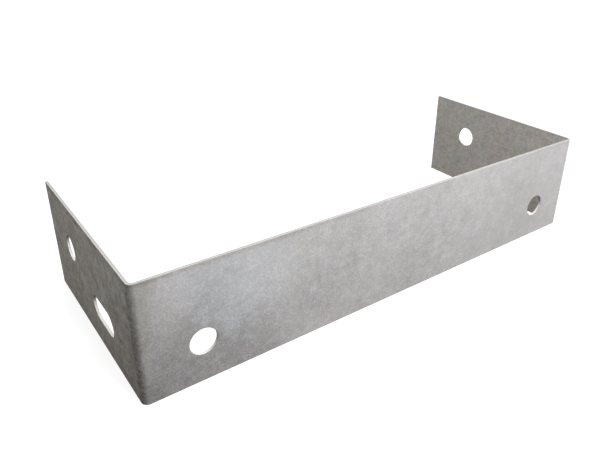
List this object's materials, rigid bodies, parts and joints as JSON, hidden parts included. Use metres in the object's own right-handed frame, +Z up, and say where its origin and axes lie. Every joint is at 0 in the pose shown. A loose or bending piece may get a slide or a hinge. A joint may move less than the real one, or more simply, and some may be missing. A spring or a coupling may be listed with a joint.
{
  "type": "u bracket",
  "caption": "Folded galvanised steel U bracket: a long web with fixing holes between matching flanges, each with a bolt hole near its free end and a slot near the bend.",
  "frame": {"origin": "middle of the bounding box's bottom face, on the surface that the bracket stands on", "axes": "+X along the web, +Y from the web to the flanges' free ends, +Z up the strip's width"},
  "size_m": [0.24, 0.096, 0.05],
  "materials": {
    "galvanised_steel": "dull galvanised sheet with bare sheared edges"
  },
  "bodies": {
    "root": {"u_bracket": "galvanised_steel"}
  },
  "joints": []
}
